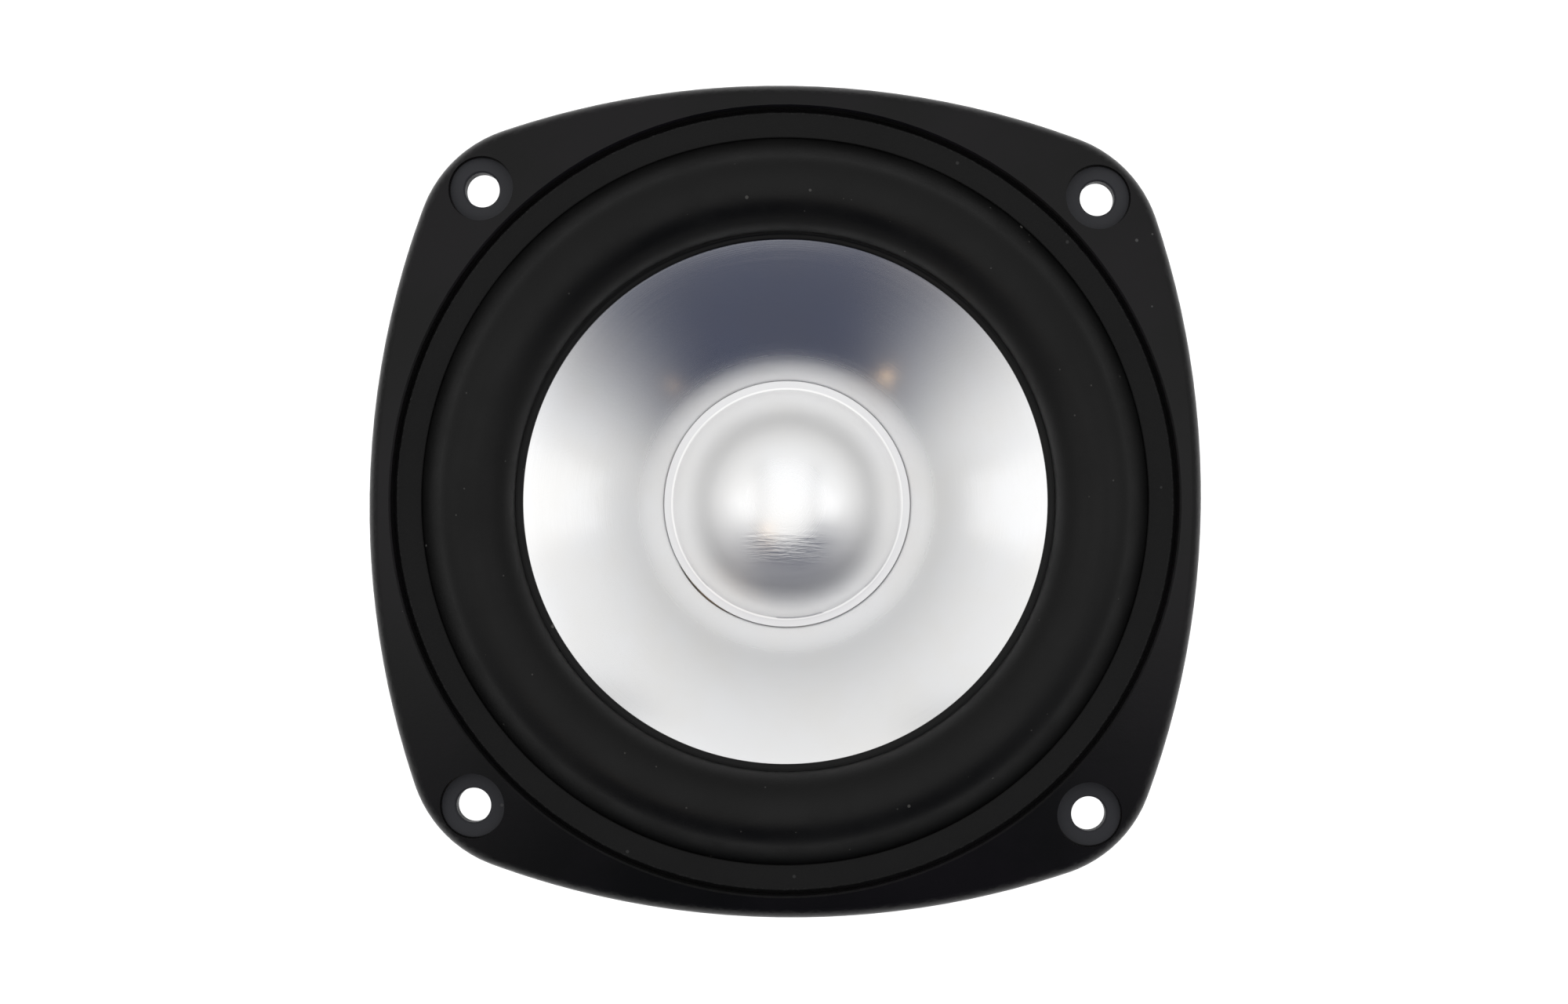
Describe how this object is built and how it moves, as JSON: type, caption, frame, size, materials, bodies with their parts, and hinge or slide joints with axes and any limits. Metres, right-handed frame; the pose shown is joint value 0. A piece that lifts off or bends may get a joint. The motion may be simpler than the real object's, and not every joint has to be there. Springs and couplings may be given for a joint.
{
  "type": "loudspeaker driver",
  "caption": "Small round car woofer with a rounded-square black flange, rubber half-roll surround, aluminium cone and domed dust cap.",
  "frame": {"origin": "speaker axis at the flange's rear face, which seats on the baffle", "axes": "+Z out of the front along the cone's travel, +Y towards the flange side opposite the terminals"},
  "size_m": [0.12, 0.12, 0.0625],
  "materials": {
    "frame_paint": "satin",
    "foam": "matte",
    "ring_rubber": "matte",
    "surround_rubber": "satin",
    "spider_cloth": "matte",
    "cone_metal": "satin",
    "cap_metal": "satin",
    "adhesive": "gloss",
    "former_metal": "satin",
    "copper": "satin",
    "collar_paper": "matte",
    "solder": "satin",
    "plated_steel": "satin",
    "ferrite": "matte",
    "screen_metal": "satin",
    "screw_steel": "satin",
    "board": "matte",
    "terminal_brass": "satin",
    "rivet_brass": "satin",
    "lead_braid": "satin"
  },
  "bodies": {
    "frame": {"basket": "frame_paint", "baffle_gasket": "foam", "surround_gasket": "ring_rubber", "surround": "surround_rubber", "spider": "spider_cloth", "top_plate": "plated_steel", "magnet": "ferrite", "back_plate": "plated_steel", "pole_piece": "plated_steel", "shorting_cap": "copper", "pole_vent_screen": "screen_metal", "plate_screws": "screw_steel", "terminal_board": "board", "terminal_positive": "terminal_brass", "terminal_negative": "terminal_brass", "terminal_rivets": "rivet_brass", "board_rivets": "rivet_brass", "solder_joints": "solder", "lead_positive": "lead_braid", "lead_negative": "lead_braid"},
    "cone_assembly": {"cone": "cone_metal", "dust_cap": "cap_metal", "dust_cap_adhesive": "adhesive", "coil_former": "former_metal", "coil_winding": "copper", "coil_collar": "collar_paper", "lead_pads": "solder"}
  },
  "joints": [
    {"name": "cone_travel", "type": "slide", "parent": "frame", "child": "cone_assembly", "axis": [0, 0, 1], "range_m": [-0.005, 0.005], "stiffness_N_per_m": 900, "deforming": ["surround", "spider", "lead_positive", "lead_negative"]}
  ]
}
